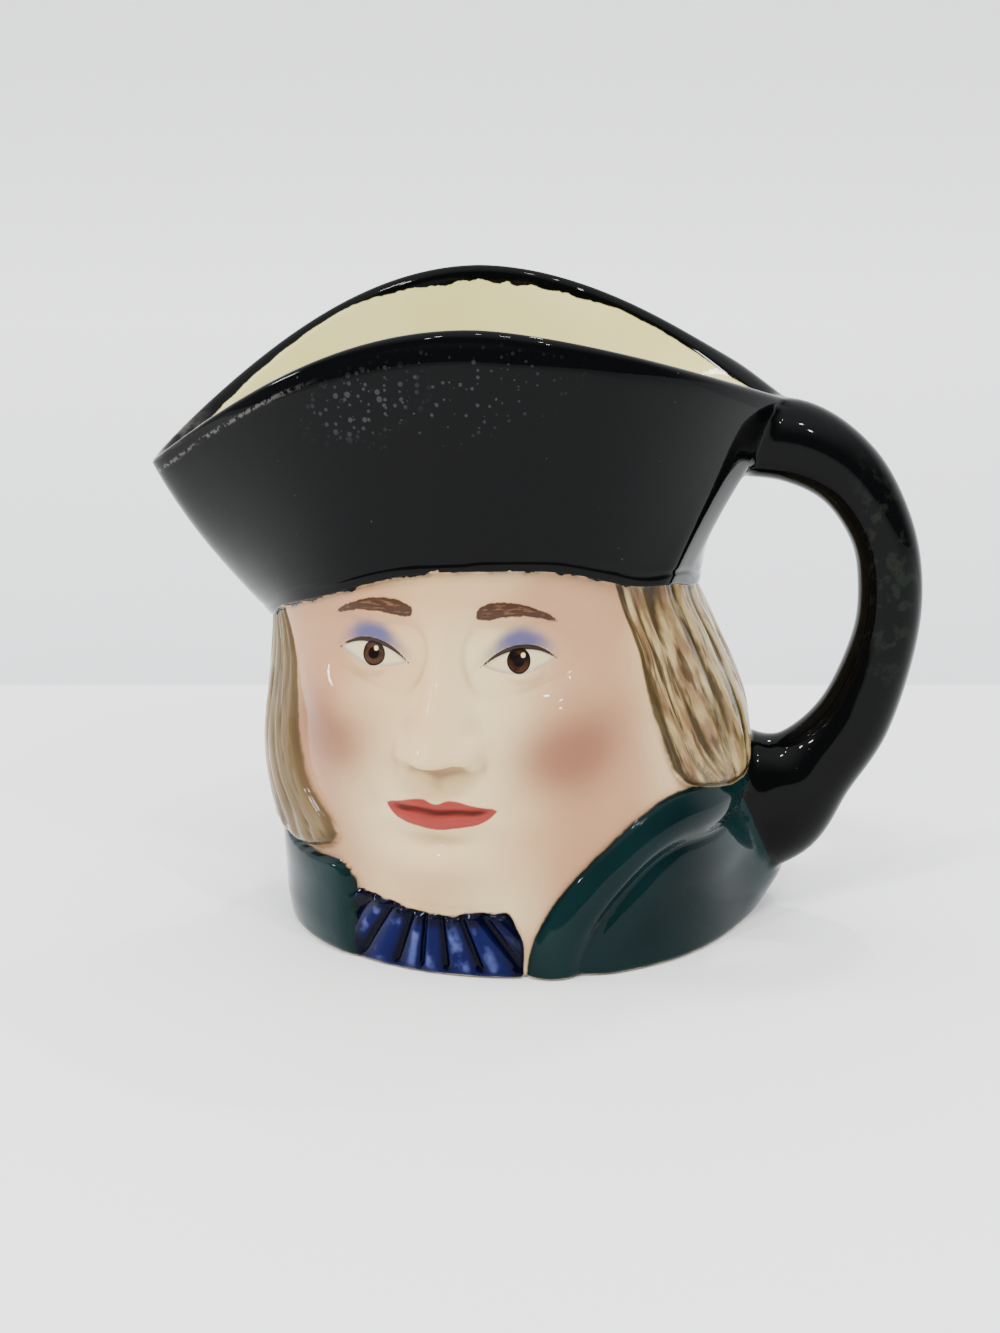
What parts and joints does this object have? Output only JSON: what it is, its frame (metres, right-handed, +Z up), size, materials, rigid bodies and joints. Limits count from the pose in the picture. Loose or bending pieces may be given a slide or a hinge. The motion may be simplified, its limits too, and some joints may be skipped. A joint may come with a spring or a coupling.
{
  "type": "character creamer",
  "caption": "Glazed pottery cream jug shaped as a head in a black cocked hat whose corner is the pouring spout, with locks, a green collar, a pleated neckcloth and a loop handle.",
  "frame": {"origin": "centre of the flat foot", "axes": "+Z up; the face looks along -Y, turned a little towards the spout; the pouring corner points along -X and the handle along +X"},
  "size_m": [0.1276, 0.0855, 0.1045],
  "materials": {
    "glazed_earthenware": "gloss glaze over hand-painted colours: black hat and handle, tan hair, dark green coat, blue neckcloth, flesh face, cream inside"
  },
  "bodies": {
    "root": {"jug": "glazed_earthenware"}
  },
  "joints": []
}
